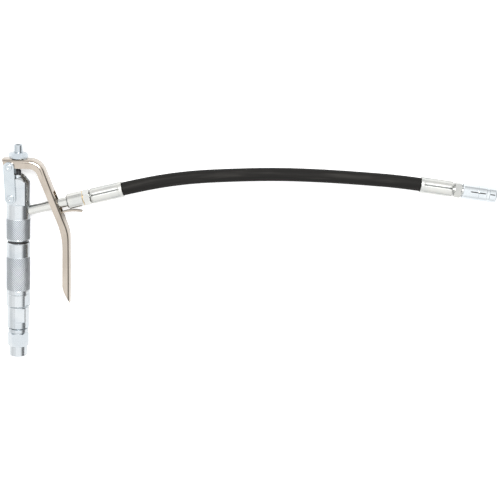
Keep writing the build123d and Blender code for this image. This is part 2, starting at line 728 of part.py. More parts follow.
def inset(points, distance):
    """The same open run of points moved sideways, to the right of its direction."""
    moved = []
    for number, point in enumerate(points):
        before = points[max(number - 1, 0)]
        after = points[min(number + 1, len(points) - 1)]
        first = atan2(point[1] - before[1], point[0] - before[0])
        second = atan2(after[1] - point[1], after[0] - point[0])
        if number == 0:
            first = second
        if number == len(points) - 1:
            second = first
        middle = (first + second) / 2
        reach = distance / cos((second - first) / 2)
        moved.append((point[0] + reach * sin(middle), point[1] - reach * cos(middle)))
    return moved


def edge_middle(edge):
    """The middle of an edge, moved to the lever's middle plane."""
    middle = edge @ 0.5
    return Vertex(middle.X, middle.Y, 0)


def make_lever():
    """A pressed steel channel with ears for the pivot, a slot for the pipe and a tongue."""
    slope = tan(radians(LEVER_TOP_TILT))
    top_start = (LEVER_TOP_START, LEVER_TOP + slope * LEVER_TOP_START)
    back = raised([top_start, *LEVER_BACK, LEVER_BACK_END])
    ear_side = (LEVER_HINGE[0] - LEVER_EAR_RADIUS, LEVER_HINGE[1])
    lining = inset(back, LEVER_SHEET)
    past_top = (2 * LEVER_TOP_START, lining[0][1])
    past_end = (lining[-1][0], lining[-1][1] - LEVER_SHEET)
    inner_radii = [radius - LEVER_SHEET for radius in LEVER_BACK_RADII]
    under_ear = (LEVER_PIVOT[0], LEVER_FRONT[0][1])
    front = raised([LEVER_FRONT_END, *reversed(LEVER_FRONT), under_ear])
    tongue = ThreePointArc(*TONGUE_LINE)
    channel = LEVER_WIDTH / 2 - LEVER_SHEET
    with BuildPart() as lever:
        with BuildSketch():
            with BuildLine():
                outer = FilletPolyline(*back, radius=LEVER_BACK_RADII)
                inner = FilletPolyline(*front, radius=LEVER_FRONT_RADII[::-1])
                Line(outer @ 1, inner @ 0)
                Line(inner @ 1, ear_side)
                Line(ear_side, outer @ 0)
            make_face()
            with Locations(LEVER_HINGE):
                Circle(LEVER_EAR_RADIUS)
        extrude(amount=LEVER_WIDTH / 2, both=True)
        sides = lever.faces().group_by(Axis.Z)
        for side in (sides[0], sides[-1]):
            rim = side[0].outer_wire().edges()
            outside = [edge for edge in rim if outer.wire().distance_to(edge_middle(edge)) < SLIDE_GAP]
            fillet(outside, LEVER_EDGE_ROUND)
        with BuildSketch():
            with BuildLine():
                wall = FilletPolyline(past_top, *lining[1:-1], past_end, radius=inner_radii)
                Polyline(wall @ 1, (0, past_end[1]), (past_top[0], 0), wall @ 0)
            make_face()
        extrude(amount=channel, both=True, mode=Mode.SUBTRACT)
        with BuildSketch():
            slot_height = (PIPE_SLOT_LOW + PIPE_SLOT_HIGH) / 2 + RISE
            with Locations((PIPE_SLOT_MIDDLE, slot_height)):
                Rectangle(PIPE_SLOT_DEPTH, PIPE_SLOT_HIGH - PIPE_SLOT_LOW)
        extrude(amount=PIPE_SLOT_WIDTH / 2, both=True, mode=Mode.SUBTRACT)
        with BuildSketch():
            SlotArc(tongue, height=TONGUE_THICKNESS)
        extrude(amount=TONGUE_WIDTH / 2, both=True)
        with BuildSketch():
            with Locations(LEVER_HINGE):
                Circle(PIN_RADIUS + RUNNING_FIT)
        extrude(amount=LEVER_WIDTH, both=True, mode=Mode.SUBTRACT)
        with BuildSketch(across(SCREW_AXIS, EDGE)):
            Circle(SCREW_RADIUS)
        extrude(amount=-2 * LEVER_SHEET, mode=Mode.SUBTRACT)
    return lever.part


def make_adjusting_screw():
    """The screw that presses the rod: a domed point below, a hexagon socket above."""
    dome = SCREW_POINT_DOME - sqrt(SCREW_POINT_DOME**2 - SCREW_POINT_RADIUS**2)
    point = -(LEVER_TOP - ROD_TOP - SCREW_GAP)
    with BuildPart() as screw:
        with BuildSketch(SCREW_AXIS):
            with BuildLine():
                Polyline(
                    (SCREW_POINT_RADIUS, point + dome),
                    (SCREW_POINT_RADIUS, -SCREW_BELOW),
                    (SCREW_RADIUS, -SCREW_BELOW + EDGE),
                    (SCREW_RADIUS, SCREW_ABOVE - EDGE),
                    (SCREW_RADIUS - EDGE, SCREW_ABOVE),
                    (0, SCREW_ABOVE),
                    (0, point),
                )
                RadiusArc((0, point), (SCREW_POINT_RADIUS, point + dome), -SCREW_POINT_DOME)
            make_face()
        revolve(axis=Axis(SCREW_AXIS.origin, SCREW_AXIS.y_dir))
        with BuildSketch(across(SCREW_AXIS, SCREW_ABOVE)):
            RegularPolygon(radius=SCREW_SOCKET_FLATS / 2, side_count=6, major_radius=False)
        extrude(amount=-SCREW_SOCKET_DEPTH, mode=Mode.SUBTRACT)
    return screw.part


def make_lock_nut():
    """The thin nut that locks the screw on the lever."""
    with BuildPart() as nut:
        add(hexagon_block(SCREW_AXIS, NUT_FLATS, 0, NUT_THICKNESS))
        with BuildSketch(across(SCREW_AXIS, 0)):
            Circle(SCREW_RADIUS)
        extrude(amount=NUT_THICKNESS, mode=Mode.SUBTRACT)
    return nut.part


# ---- Outlet ------------------------------------------------------------------------
def make_outlet_pipe():
    """The pipe from the grease chamber out through the lever's slot."""
    end = PIPE_INNER_END + PIPE_LENGTH
    return ring(PIPE_AXIS, PIPE_BORE_RADIUS, PIPE_RADIUS, PIPE_INNER_END, end)


def make_outlet_coupling():
    """The round socket brazed on the pipe, with a female thread for the hose."""
    pipe_end = PIPE_INNER_END + PIPE_LENGTH
    return turned(
        PIPE_AXIS,
        [
            (PIPE_RADIUS, COUPLING_START),
            (COUPLING_RADIUS - COUPLING_CHAMFER, COUPLING_START),
            (COUPLING_RADIUS, COUPLING_START + COUPLING_CHAMFER),
            (COUPLING_RADIUS, COUPLING_END - EDGE / 2),
            (COUPLING_RADIUS - EDGE / 2, COUPLING_END),
            (FITTING_THREAD_RADIUS, COUPLING_END),
            (FITTING_THREAD_RADIUS, pipe_end),
            (PIPE_RADIUS, pipe_end),
        ],
    )


def make_hose_fitting(frame, hex_start, thread_radius, thread_end, nipple_end, turn=0.0):
    """A hexagon with a male thread on one side and the hose's barbed tail on the other."""
    forward = 1 if nipple_end > hex_start else -1
    hex_end = hex_start + forward * FITTING_HEX_LENGTH
    low, high = sorted((hex_start, hex_end))
    with BuildPart() as fitting:
        add(hexagon_block(frame, FITTING_HEX_FLATS, low, high, turn))
        with BuildSketch(across(frame, hex_start)):
            Circle(thread_radius)
        extrude(amount=thread_end - hex_start)
        with BuildSketch(across(frame, hex_end)):
            Circle(NIPPLE_RADIUS)
        extrude(amount=nipple_end - hex_end)
        bore_start, bore_end = sorted((thread_end, nipple_end))
        with BuildSketch(across(frame, bore_start)):
            Circle(FITTING_BORE_RADIUS)
        extrude(amount=bore_end - bore_start, mode=Mode.SUBTRACT)
    return fitting.part


def make_ferrule(frame, start, end):
    """The sleeve pressed on the hose's end, with a groove from each jaw of the press."""
    with BuildPart() as ferrule:
        add(
            turned(
                frame,
                [
                    (NIPPLE_RADIUS, start),
                    (FERRULE_RADIUS - EDGE, start),
                    (FERRULE_RADIUS, start + EDGE),
                    (FERRULE_RADIUS, end - EDGE),
                    (FERRULE_RADIUS - EDGE, end),
                    (NIPPLE_RADIUS, end),
                ],
            )
        )
        with BuildSketch(across(frame, start + FERRULE_LIP)):
            with PolarLocations(FERRULE_RADIUS + CRIMP_RADIUS - CRIMP_DEPTH, CRIMP_COUNT, start_angle=30):
                Circle(CRIMP_RADIUS)
        extrude(amount=end - start - 2 * FERRULE_LIP, mode=Mode.SUBTRACT)
    return ferrule.part


def bend_radii(points):
    """The radius of each bend: its arc takes the same share of the shorter run beside it."""
    radii = []
    for before, point, after in zip(points, points[1:], points[2:]):
        first = Vector(*point) - Vector(*before)
        second = Vector(*after) - Vector(*point)
        turn = radians(first.get_angle(second))
        shorter = min(first.length, second.length)
        radii.append(BEND_SHARE * shorter / tan(turn / 2))
    return radii


def make_hose():
    """The hose as a round bar on its route: straight runs joined by tangent arcs."""
    radii = bend_radii(HOSE_ROUTE)
    with BuildPart() as hose:
        with BuildLine() as route:
            FilletPolyline(*HOSE_ROUTE, radius=radii)
        path = route.wire()
        with BuildSketch(Plane(origin=path @ 0, z_dir=path % 0)):
            Circle(HOSE_RADIUS)
        sweep(path=path, transition=Transition.ROUND)
    print("hose bend radii", [round(radius) for radius in radii])
    print("hose length", round(path.length, 1))
    section = pi * HOSE_RADIUS**2
    print("hose volume over section times length", hose.part.volume / (section * path.length))
    return hose.part


# ---- Coupler -----------------------------------------------------------------------
def slotted(piece, start, end):
    """The piece with four narrow slots along the coupler's outside, a quarter turn apart."""
    with BuildPart() as cut:
        add(piece)
        for quarter in range(4):
            side = Plane(TIP_AXIS.location * Rotation(0, 90 * quarter + COUPLER_SLOT_TURN, 0))
            with BuildSketch(side.offset(COUPLER_RADIUS - COUPLER_SLOT_DEPTH)):
                with Locations((0, (start + end) / 2)):
                    Rectangle(COUPLER_SLOT_WIDTH, end - start)
            extrude(amount=2 * COUPLER_SLOT_DEPTH, mode=Mode.SUBTRACT)
    return cut.part


def make_coupler_body():
    """The coupler's rear: thread for the hose, spring room, piston bore and the start of the slots."""
    body = turned(
        TIP_AXIS,
        [
            (TIP_THREAD_RADIUS, COUPLER_START),
            (COUPLER_RADIUS - EDGE, COUPLER_START),
            (COUPLER_RADIUS, COUPLER_START + EDGE),
            (COUPLER_RADIUS, SLEEVE_START - EDGE / 4),
            (COUPLER_RADIUS - EDGE / 4, SLEEVE_START),
            (COUPLER_NOSE_RADIUS, SLEEVE_START),
            (COUPLER_NOSE_RADIUS, SLEEVE_START + COUPLER_NOSE_LENGTH),
            (PISTON_RADIUS + RUNNING_FIT, SLEEVE_START + COUPLER_NOSE_LENGTH),
            (PISTON_RADIUS + RUNNING_FIT, COUPLER_SPRING_START),
            (PISTON_BORE_RADIUS, COUPLER_SPRING_START),
            (PISTON_BORE_RADIUS, COUPLER_FLOOR),
            (TIP_THREAD_RADIUS, COUPLER_FLOOR),
        ],
    )
    return slotted(body, COUPLER_SLOT_START, SLEEVE_START + EDGE)


def make_coupler_sleeve():
    """The front sleeve, whose cone closes the jaws on a grease nipple, and whose slots a groove breaks."""
    groove = SLEEVE_START + SLEEVE_GROOVE_START
    groove_radius = COUPLER_RADIUS - SLEEVE_GROOVE_DEPTH
    with BuildPart() as sleeve:
        with BuildSketch(TIP_AXIS):
            with BuildLine():
                nose_low = (COUPLER_RADIUS, SLEEVE_END - SLEEVE_NOSE_ROUND)
                nose_high = (COUPLER_RADIUS - SLEEVE_NOSE_ROUND, SLEEVE_END)
                RadiusArc(nose_low, nose_high, -SLEEVE_NOSE_ROUND)
                Polyline(
                    nose_high,
                    (SLEEVE_MOUTH_RADIUS, SLEEVE_END),
                    (SLEEVE_MOUTH_RADIUS, SLEEVE_CONE_END),
                    (SLEEVE_CHAMBER_RADIUS, SLEEVE_CONE_START),
                    (SLEEVE_CHAMBER_RADIUS, SLEEVE_START + COUPLER_NOSE_LENGTH),
                    (COUPLER_NOSE_RADIUS, SLEEVE_START + COUPLER_NOSE_LENGTH),
                    (COUPLER_NOSE_RADIUS, SLEEVE_START),
                    (COUPLER_RADIUS - EDGE / 4, SLEEVE_START),
                    (COUPLER_RADIUS, SLEEVE_START + EDGE / 4),
                    (COUPLER_RADIUS, groove),
                    (groove_radius, groove + EDGE / 2),
                    (groove_radius, groove + SLEEVE_GROOVE_WIDTH - EDGE / 2),
                    (COUPLER_RADIUS, groove + SLEEVE_GROOVE_WIDTH),
                    nose_low,
                )
            make_face()
        revolve(axis=Axis(TIP_AXIS.origin, TIP_AXIS.y_dir))
    before_groove = slotted(sleeve.part, SLEEVE_START - EDGE, groove)
    return slotted(before_groove, groove + SLEEVE_GROOVE_WIDTH, COUPLER_SLOT_END)


def make_coupler_jaw(number):
    """One of the jaws: a part of a ring whose front follows the sleeve's cone."""
    front_radius = SLEEVE_MOUTH_RADIUS + SLIDE_GAP * SLEEVE_CONE_SLOPE - JAW_GAP
    cone_back = SLEEVE_CONE_END - (JAW_RADIUS + JAW_GAP - SLEEVE_MOUTH_RADIUS) / SLEEVE_CONE_SLOPE
    middle = 360 / JAW_COUNT * (number + 0.5)
    first = Plane(TIP_AXIS.location * Rotation(0, middle - JAW_ARC / 2, 0))
    with BuildPart() as jaw:
        with BuildSketch(first):
            with BuildLine():
                Polyline(
                    (JAW_BORE_RADIUS, JAW_BACK),
                    (JAW_RADIUS, JAW_BACK),
                    (JAW_RADIUS, cone_back),
                    (front_radius, JAW_FRONT),
                    (JAW_GRIP_RADIUS, JAW_FRONT),
                    (JAW_GRIP_RADIUS, JAW_FRONT - JAW_LIP),
                    (JAW_BORE_RADIUS, JAW_FRONT - JAW_LIP - EDGE),
                    close=True,
                )
            make_face()
        revolve(axis=Axis(TIP_AXIS.origin, TIP_AXIS.y_dir), revolution_arc=JAW_ARC)
    return jaw.part


def make_coupler_piston():
    """The spring-loaded piston behind the jaws."""
    return ring(TIP_AXIS, PISTON_BORE_RADIUS, PISTON_RADIUS, PISTON_BACK, PISTON_FRONT)


def make_coupler_seal():
    """The rubber seal on the piston's face, inside the jaws."""
    end = PISTON_FRONT + COUPLER_SEAL_LENGTH
    return ring(TIP_AXIS, PISTON_BORE_RADIUS, COUPLER_SEAL_RADIUS, PISTON_FRONT, end)


def make_coupler_spring():
    """The spring behind the piston."""
    return spring(
        TIP_AXIS,
        COUPLER_SPRING_RADIUS,
        COUPLER_SPRING_WIRE,
        COUPLER_SPRING_TURNS,
        COUPLER_SPRING_START,
        PISTON_BACK,
    )


# ---- All the pieces ----------------------------------------------------------------
keep(make_inlet_nut(), "inlet_nut")
keep(make_inlet_strainer(), "inlet_strainer")
ring_start = STRAINER_START + STRAINER_THICKNESS
ring_outer = STRAINER_RADIUS - RUNNING_FIT
ring_end = ring_start + STRAINER_RING_THICKNESS
keep(ring(BODY_AXIS, FLOW_RADIUS, ring_outer, ring_start, ring_end), "strainer_ring")
keep(make_swivel_body(), "swivel_body")
keep(make_swivel_seal(), "swivel_seal")
keep(make_swivel_balls(), "swivel_balls")
keep(make_handle(), "handle")
seal_bore = HANDLE_THREAD_RADIUS + RUNNING_FIT
keep(ring(BODY_AXIS, seal_bore, HANDLE_SEAL_RADIUS, HANDLE_END, BODY_START), "handle_seal")
keep(make_valve_body(), "valve_body")
keep(make_valve_seat(), "valve_seat")
keep(make_valve_ball(), "valve_ball")
keep(make_ball_carrier(), "ball_carrier")
keep(make_valve_spring(), "valve_spring")
keep(make_gland_packing(), "gland_packing")
keep(make_gland_washer(), "gland_washer")
keep(make_gland_nut(), "gland_nut")
keep(make_push_rod(), "push_rod")
keep(make_link_plate(1), "link_plate_front")
keep(make_link_plate(-1), "link_plate_back")
keep(make_pin(LEVER_HINGE, LEVER_PIN_HEAD_RADIUS, 0), "lever_pin")
keep(make_pin(LINK_HINGE, BODY_PIN_HEAD_RADIUS, RUNNING_FIT), "body_pin")
keep(make_lever(), "lever")
keep(make_adjusting_screw(), "adjusting_screw")
keep(make_lock_nut(), "lock_nut")
keep(make_outlet_pipe(), "outlet_pipe")
keep(make_outlet_coupling(), "outlet_coupling")
washer = ring(PIPE_AXIS, FITTING_THREAD_RADIUS, WASHER_RADIUS, COUPLING_END, FITTING_START)
keep(washer, "coupling_washer")
gun_thread_end = FITTING_START - FITTING_THREAD_LENGTH
gun_fitting = make_hose_fitting(
    PIPE_AXIS, FITTING_START, FITTING_THREAD_RADIUS, gun_thread_end, FERRULE_END
)
keep(gun_fitting, "hose_fitting_gun")
keep(make_ferrule(PIPE_AXIS, FERRULE_START, FERRULE_END), "hose_ferrule_gun")
keep(make_hose(), "hose")
keep(make_ferrule(TIP_AXIS, 0, FERRULE_LENGTH), "hose_ferrule_tip")
tip_thread_end = TIP_HEX_END + TIP_THREAD_LENGTH
tip_fitting = make_hose_fitting(
    TIP_AXIS, TIP_HEX_END, TIP_THREAD_RADIUS, tip_thread_end, 0, TIP_HEX_TURN
)
keep(tip_fitting, "hose_fitting_tip")
keep(make_coupler_body(), "coupler_body")
keep(make_coupler_sleeve(), "coupler_sleeve")
for jaw_number in range(JAW_COUNT):
    keep(make_coupler_jaw(jaw_number), f"coupler_jaw_{jaw_number + 1}")
keep(make_coupler_piston(), "coupler_piston")
keep(make_coupler_seal(), "coupler_seal")
keep(make_coupler_spring(), "coupler_spring")
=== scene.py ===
import json
from math import atan2, copysign, cos, pi, radians, sin

import bpy
import numpy as np
from mathutils import Matrix, Vector


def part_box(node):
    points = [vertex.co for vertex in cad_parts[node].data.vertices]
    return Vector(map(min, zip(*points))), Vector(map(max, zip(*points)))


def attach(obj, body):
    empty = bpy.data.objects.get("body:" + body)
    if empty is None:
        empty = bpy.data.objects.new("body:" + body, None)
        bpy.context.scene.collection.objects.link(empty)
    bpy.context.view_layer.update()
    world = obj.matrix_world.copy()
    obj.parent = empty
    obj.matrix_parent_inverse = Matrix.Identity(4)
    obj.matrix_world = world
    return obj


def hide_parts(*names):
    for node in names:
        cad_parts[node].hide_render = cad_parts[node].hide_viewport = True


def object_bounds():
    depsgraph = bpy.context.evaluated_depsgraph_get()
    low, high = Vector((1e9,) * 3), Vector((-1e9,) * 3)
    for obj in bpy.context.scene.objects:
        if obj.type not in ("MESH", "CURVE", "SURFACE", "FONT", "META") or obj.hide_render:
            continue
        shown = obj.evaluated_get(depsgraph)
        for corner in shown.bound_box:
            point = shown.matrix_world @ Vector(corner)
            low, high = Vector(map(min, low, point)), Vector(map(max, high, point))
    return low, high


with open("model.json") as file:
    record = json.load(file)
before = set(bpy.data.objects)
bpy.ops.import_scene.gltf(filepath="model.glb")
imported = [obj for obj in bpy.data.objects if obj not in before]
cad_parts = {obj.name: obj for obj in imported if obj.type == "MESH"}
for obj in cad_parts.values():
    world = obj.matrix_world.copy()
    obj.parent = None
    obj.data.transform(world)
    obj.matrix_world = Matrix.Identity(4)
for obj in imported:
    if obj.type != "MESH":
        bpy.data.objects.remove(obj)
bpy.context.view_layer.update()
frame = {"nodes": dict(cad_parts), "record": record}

MM = 0.001
TURN = 2 * pi

# ---- Camera --------------------------------------------------------------------------
CAMERA_TARGET = Vector((0.2430, 0.1248, 0.0))
CAMERA_DISTANCE = 1.4175
CAMERA_TILT = radians(13.5)
CAMERA_ROLL = radians(2.31)
CAMERA_LENS = 97.2
CAMERA_REACH = 20.0
SENSOR_WIDTH = 36.0

# ---- Hose ----------------------------------------------------------------------------
HOSE_RADIUS = 6.9 * MM
HOSE_POINTS = [
    (0.10803, 0.18455, 0.0),
    (0.13697, 0.19247, 0.0),
    (0.1780, 0.1999, -0.0004),
    (0.2220, 0.2037, -0.0012),
    (0.2680, 0.2063, -0.0022),
    (0.3150, 0.2063, -0.0032),
    (0.3600, 0.2048, -0.0041),
    (0.3956, 0.2032, -0.0045),
    (0.4175, 0.2009, -0.0045),
]
HOSE_STEPS_AROUND = 64
HOSE_SPLINE_STEPS = 24
HOSE_CAP_SHARE = 0.02
WEAVE_TURNS = 46.0
WEAVE_PITCH = 0.0009
WEAVE_DEPTH = 0.00006
WRAP_PITCH = 0.026

# ---- Pressed ferrules ----------------------------------------------------------------
FERRULE_LENGTH = 34.0 * MM
FERRULE_RADIUS = 8.5 * MM
FERRULE_BORE = 6.95 * MM
FERRULE_STEPS = (110, 240)
FERRULE_SINK = 1.2 * MM
CRIMPS = 6
CRIMP_TURN = radians(13.5)
CRIMP_WIDTH = 0.62 * MM
CRIMP_DEPTH = 0.95 * MM
DRAW_START = 2.6 * MM
DRAW_LENGTH = 2.4 * MM
DRAW_DEPTH = 0.28 * MM
NOSE_LENGTH = 3.2 * MM
NOSE_DROP = 1.7 * MM
NOSE_SCALLOP = 0.55
LIP_LENGTH = 0.7 * MM
LIP_DROP = 0.35 * MM

# ---- Knurls and pin heads ------------------------------------------------------------
KNURL_ROOT = 12.07 * MM
KNURL_CREST = 12.55 * MM
KNURL_CORE = 11.8 * MM
KNURL_STARTS = 36
KNURL_PITCH = 2.0 * MM
KNURL_STEPS = 8
KNURL_FLAT = 0.82
KNURL_FADE = 0.9 * MM
HANDLE_KNURL = (72.5 * MM, 108.9 * MM)
BODY_KNURL = (127.3 * MM, 149.9 * MM)
PIN_SPREAD = 0.03 * MM
PIN_STEPS = 48

# ---- Coupler slots -------------------------------------------------------------------
SLOT_WIDTH = 1.1 * MM
SLOT_FLOOR = 7.22 * MM
SLOT_FILL = 0.86 * MM
SLOT_TURN = radians(10.0)
SLOT_REAR = (51.8 * MM, 68.7 * MM)
SLOT_FRONT = (72.6 * MM, 77.8 * MM)
# Dark fills in the slots: painted shade, shaped like packed grease.
SHADE_FILL_STEPS = (24, 12)
SHADE_FILL_WIDTH_SHARE = 0.98
SHADE_FILL_END_SHARE = 0.3
SHADE_FILL_THINNEST = 0.002

# ---- Plate ---------------------------------------------------------------------------
COARSE_RINGS = (25, 900, 25)
FINE_RINGS = (50, 4200, 50)
COARSE_SHARE = 0.6
FINE_SHARE = 0.4
RING_DEPTH = 0.02 * MM
RING_STRENGTH = 0.35
SCRATCH_RUNS = ((0.5, (90, 1500, 90)), (-0.9, (1300, 80, 70)), (2.1, (60, 1100, 60)))
SCRATCH_ROUGHNESS = 0.16
SCRATCH_DEPTH = 0.5
GRAIN_HEIGHT = 0.4
SPOT_COVER = 0.45
SWAY_SCALE = (60, 22, 60)
# Colour painted into the grooves of knurls and crimps: partly grime, partly painted shade in the
# hollows.
GROOVE_GRIME_AND_SHADE = (0.17, 0.185, 0.20, 1)
GRIME_AND_SHADE_COVER = 0.8

# ---- Floor and lamp ------------------------------------------------------------------
FLOOR_GAP = 0.15 * MM
FLOOR_SIZE = 6.0
FLOOR_TONE = (0.84, 0.84, 0.84, 1)
FLOOR_GLOW = 0.5
LAMP_PLACE = (0.22, 0.80, 1.20)
LAMP_AIM = (0.22, 0.15, 0)
LAMP_SIZE = 0.5
LAMP_POWER = 14.0

# ---- Tent: a direction, the cosines where a shade starts and is full, and its depth -----
RIGHT_WALL = ((1.0, 0.0, 0.0), 0.60, 0.90, 0.80)
FAR_WALL = ((0.0, 1.0, 0.0), 0.80, 0.93, 0.28)
LENS_OPENING = ((0.0, 0.03, 1.0), 0.989, 0.995, 0.7)
SEAM_AXIS = (0.838, 0.0, 0.545)
SEAM_EDGES = (0.02, 0.09)
SEAM_DEPTH = 0.3
PANEL_WAY = (0.12, -0.2, 0.97)
PANEL_EDGES = (0.30, 0.95)
PANEL_LIGHT = 1.34


def look_from():
    """Right, up and backward directions of the camera."""
    right = Vector((cos(CAMERA_ROLL), sin(CAMERA_ROLL), 0))
    away = Vector((-sin(CAMERA_ROLL), cos(CAMERA_ROLL), 0))
    up = away * cos(CAMERA_TILT) - Vector((0, 0, sin(CAMERA_TILT)))
    back = away * sin(CAMERA_TILT) + Vector((0, 0, cos(CAMERA_TILT)))
    return right, up, back


def add_camera():
    """The camera, turned to look at its target."""
    right, up, back = look_from()
    data = bpy.data.cameras.new("camera")
    data.lens = CAMERA_LENS
    data.sensor_width = SENSOR_WIDTH
    data.clip_end = CAMERA_REACH
    camera = bpy.data.objects.new("camera", data)
    place = CAMERA_TARGET + back * CAMERA_DISTANCE
    turned = Matrix((right, up, back)).transposed().to_4x4()
    camera.matrix_world = Matrix.Translation(place) @ turned
    bpy.context.scene.collection.objects.link(camera)
    bpy.context.scene.camera = camera


# ---- Shader tools --------------------------------------------------------------------
def new_group(name, inputs, outputs):
    """An empty shader group with its sockets, its input node and its output node."""
    group = bpy.data.node_groups.new(name, "ShaderNodeTree")
    for label, kind, value in inputs:
        socket = group.interface.new_socket(label, in_out="INPUT", socket_type=kind)
        if value is not None:
            socket.default_value = value
    for label, kind in outputs:
        group.interface.new_socket(label, in_out="OUTPUT", socket_type=kind)
    return group, group.nodes.new("NodeGroupInput"), group.nodes.new("NodeGroupOutput")


def math_node(tree, operation, first, second=None, clamp=False):
    """A math node fed by sockets or numbers; gives its output socket."""
    node = tree.nodes.new("ShaderNodeMath")
    node.operation = operation
    node.use_clamp = clamp
    for number, value in enumerate((first, second)):
        if value is None:
            continue
        if isinstance(value, (int, float)):
            node.inputs[number].default_value = value
        else:
            tree.links.new(value, node.inputs[number])
    return node.outputs[0]


def times(tree, first, second):
    """The product of two sockets or numbers."""
    return math_node(tree, "MULTIPLY", first, second)


def plus(tree, first, second):
    """The sum of two sockets or numbers."""
    return math_node(tree, "ADD", first, second)


def remap(tree, value, low, high, new_low=0.0, new_high=1.0, smooth=True):
    """A value from one range to another, held at the ends."""
    node = tree.nodes.new("ShaderNodeMapRange")
    node.interpolation_type = "SMOOTHSTEP" if smooth else "LINEAR"
    tree.links.new(value, node.inputs["Value"])
    limits = {"From Min": low, "From Max": high, "To Min": new_low, "To Max": new_high}
    for socket, number in limits.items():
        node.inputs[socket].default_value = number
    return node.outputs["Result"]


def noise(tree, vector, scale=1.0, detail=2.0, rough=0.5):
    """Noise on a vector; gives its value socket."""
    node = tree.nodes.new("ShaderNodeTexNoise")
    node.inputs["Scale"].default_value = scale
    node.inputs["Detail"].default_value = detail
    node.inputs["Roughness"].default_value = rough
    tree.links.new(vector, node.inputs["Vector"])
    return node.outputs[0]


def stretched(tree, vector, scale):
    """A vector with each axis scaled by itself."""
    node = tree.nodes.new("ShaderNodeVectorMath")
    node.operation = "MULTIPLY"
    node.inputs[1].default_value = scale
    tree.links.new(vector, node.inputs[0])
    return node.outputs[0]


def mix_color(tree, factor, first, second):
    """Two colours mixed by a factor; each may be a socket or a colour."""
    node = tree.nodes.new("ShaderNodeMix")
    node.data_type = "RGBA"
    mixed = ((node.inputs[0], factor), (node.inputs[6], first), (node.inputs[7], second))
    for socket, value in mixed:
        if isinstance(value, (tuple, float, int)):
            socket.default_value = value
        else:
            tree.links.new(value, socket)
    return node.outputs[2]


def bump_node(tree, height, distance, strength=1.0):
    """A bump fed by a height; gives the node."""
    node = tree.nodes.new("ShaderNodeBump")
    node.inputs["Strength"].default_value = strength
    node.inputs["Distance"].default_value = distance
    tree.links.new(height, node.inputs["Height"])
    return node


def lathe_marks_group():
    """Rings left by the tool, on a vector whose Y runs along the turned axis: a mask and a
    height."""
    group, given, result = new_group(
        "lathe_marks",
        [("Vector", "NodeSocketVector", None)],
        [("Rings", "NodeSocketFloat"), ("Height", "NodeSocketFloat")],
    )
    vector = given.outputs["Vector"]
    coarse = noise(group, stretched(group, vector, COARSE_RINGS), detail=3.0, rough=0.6)
    fine = noise(group, stretched(group, vector, FINE_RINGS), detail=2.0, rough=0.5)
    both = plus(group, times(group, coarse, COARSE_SHARE), times(group, fine, FINE_SHARE))
    group.links.new(remap(group, both, 0.32, 0.68), result.inputs["Rings"])
    group.links.new(both, result.inputs["Height"])
    return group


def plate_clouds_group():
    """The cloudy, slightly two-toned look of zinc or nickel plate: a colour and a mask."""
    group, given, result = new_group(
        "plate_clouds",
        [
            ("Vector", "NodeSocketVector", None),
            ("Light", "NodeSocketColor", (0.8, 0.8, 0.8, 1)),
            ("Tint", "NodeSocketColor", (0.7, 0.75, 0.8, 1)),
            ("Dull", "NodeSocketColor", (0.5, 0.5, 0.5, 1)),
        ],
        [("Color", "NodeSocketColor"), ("Clouds", "NodeSocketFloat")],
    )
    wide = noise(group, given.outputs["Vector"], scale=45.0, detail=3.0, rough=0.55)
    close = noise(group, given.outputs["Vector"], scale=420.0, detail=4.0, rough=0.6)
    clouds = remap(group, wide, 0.35, 0.65)
    base = mix_color(group, clouds, given.outputs["Light"], given.outputs["Tint"])
    spots = times(group, remap(group, close, 0.58, 0.78), SPOT_COVER)
    color = mix_color(group, spots, base, given.outputs["Dull"])
    group.links.new(color, result.inputs["Color"])
    group.links.new(close, result.inputs["Clouds"])
    return group


def handling_marks_group():
    """Short scratches and rubbed patches from use: a mask that is 1 on a mark."""
    group, given, result = new_group(
        "handling_marks",
        [("Vector", "NodeSocketVector", None), ("Amount", "NodeSocketFloat", 0.5)],
        [("Marks", "NodeSocketFloat")],
    )
    masks = []
    for turn, scale in SCRATCH_RUNS:
        turned = group.nodes.new("ShaderNodeMapping")
        turned.inputs["Rotation"].default_value = (turn, turn / 2, turn)
        turned.inputs["Scale"].default_value = scale
        group.links.new(given.outputs["Vector"], turned.inputs["Vector"])
        run = noise(group, turned.outputs[0], detail=1.0, rough=0.4)
        masks.append(remap(group, run, 0.69, 0.74))
    pair = math_node(group, "MAXIMUM", masks[0], masks[1])
    lines = math_node(group, "MAXIMUM", pair, masks[2])
    rubbed = noise(group, given.outputs["Vector"], scale=60.0, detail=2.0, rough=0.5)
    broken = times(group, lines, remap(group, rubbed, 0.45, 0.62))
    marks = math_node(group, "MULTIPLY", broken, given.outputs["Amount"], clamp=True)
    group.links.new(marks, result.inputs["Marks"])
    return group


def moulded_mottle_group():
    """The mottled, finely grained look of rubber or blackened steel: a mask and a height."""
    group, given, result = new_group(
        "moulded_mottle",
        [("Vector", "NodeSocketVector", None)],
        [("Mottle", "NodeSocketFloat"), ("Grain", "NodeSocketFloat")],
    )
    patches = noise(group, given.outputs["Vector"], scale=300.0, detail=4.0, rough=0.6)
    grain = noise(group, given.outputs["Vector"], scale=2500.0, detail=3.0, rough=0.6)
    group.links.new(remap(group, patches, 0.35, 0.7), result.inputs["Mottle"])
    group.links.new(grain, result.inputs["Grain"])
    return group


GROUPS = {
    "lathe": lathe_marks_group(),
    "clouds": plate_clouds_group(),
    "marks": handling_marks_group(),
    "mottle": moulded_mottle_group(),
}


def place_group(tree, name, links, values=None):
    """A shared group placed in a material, with its inputs."""
    node = tree.nodes.new("ShaderNodeGroup")
    node.node_tree = GROUPS[name]
    for label, source in links.items():
        tree.links.new(source, node.inputs[label])
    for label, value in (values or {}).items():
        node.inputs[label].default_value = value
    return node


